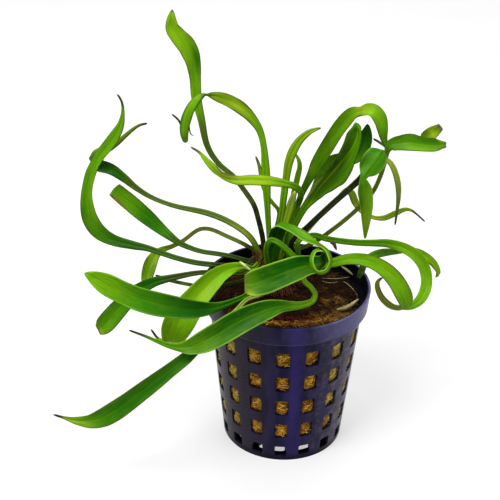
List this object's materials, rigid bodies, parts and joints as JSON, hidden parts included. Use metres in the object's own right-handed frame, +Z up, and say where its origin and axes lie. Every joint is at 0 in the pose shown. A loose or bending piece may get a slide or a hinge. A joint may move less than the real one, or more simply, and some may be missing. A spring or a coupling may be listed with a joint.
{
  "type": "potted amazon sword plant",
  "caption": "Leafy water plant with arching, twisted sword-shaped leaves growing from a rock wool plug in a small slotted net pot.",
  "frame": {"origin": "middle of the pot's underside, on the surface that the pot stands on", "axes": "+Z up along the pot's axis, -Y towards the front that the picture shows, +X to the right seen from the front"},
  "size_m": [0.1264, 0.0736, 0.139],
  "materials": {
    "pot_plastic": "glossy dark indigo, with water on it",
    "rock_wool": "matt ochre-brown mineral fibre, dark red-brown on top",
    "crown": "matt fibrous brown",
    "leaf_green": "smooth, soft sheen, pale midrib and margins",
    "leaf_yellow_green": "smooth, soft sheen, yellow-green",
    "leaf_dark_green": "smooth, soft sheen, dark green",
    "root": "matt cream",
    "dead_tissue": "matt red-brown"
  },
  "bodies": {
    "root": {"pot": "pot_plastic", "rock_wool": "rock_wool", "crown": "crown", "leaf_tallest": "leaf_green", "leaf_crook": "leaf_green", "leaf_upper_left": "leaf_green", "leaf_wide_left": "leaf_green", "leaf_mid_left": "leaf_green", "leaf_bent_stalk": "leaf_green", "leaf_broad_left": "leaf_green", "leaf_front_curl": "leaf_green", "leaf_front_long": "leaf_green", "leaf_lowest": "leaf_green", "leaf_thin_back": "leaf_green", "leaf_upright_inner": "leaf_green", "leaf_big_arch": "leaf_green", "leaf_keeled": "leaf_green", "leaf_nodding": "leaf_green", "leaf_right_level": "leaf_green", "leaf_right_spiral": "leaf_green", "leaf_left_arch": "leaf_yellow_green", "leaf_yellow_cross": "leaf_yellow_green", "leaf_upright_outer": "leaf_yellow_green", "leaf_young": "leaf_yellow_green", "leaf_right_droop": "leaf_yellow_green", "leaf_right_slim": "leaf_yellow_green", "leaf_right_strap": "leaf_yellow_green", "leaf_low_fold": "leaf_dark_green", "leaf_thin_stalk": "leaf_dark_green", "leaf_dark_oval": "leaf_dark_green", "leaf_rim_shoot": "leaf_dark_green", "root_cream": "root", "root_pale": "root", "dead_stub": "dead_tissue"}
  },
  "joints": []
}
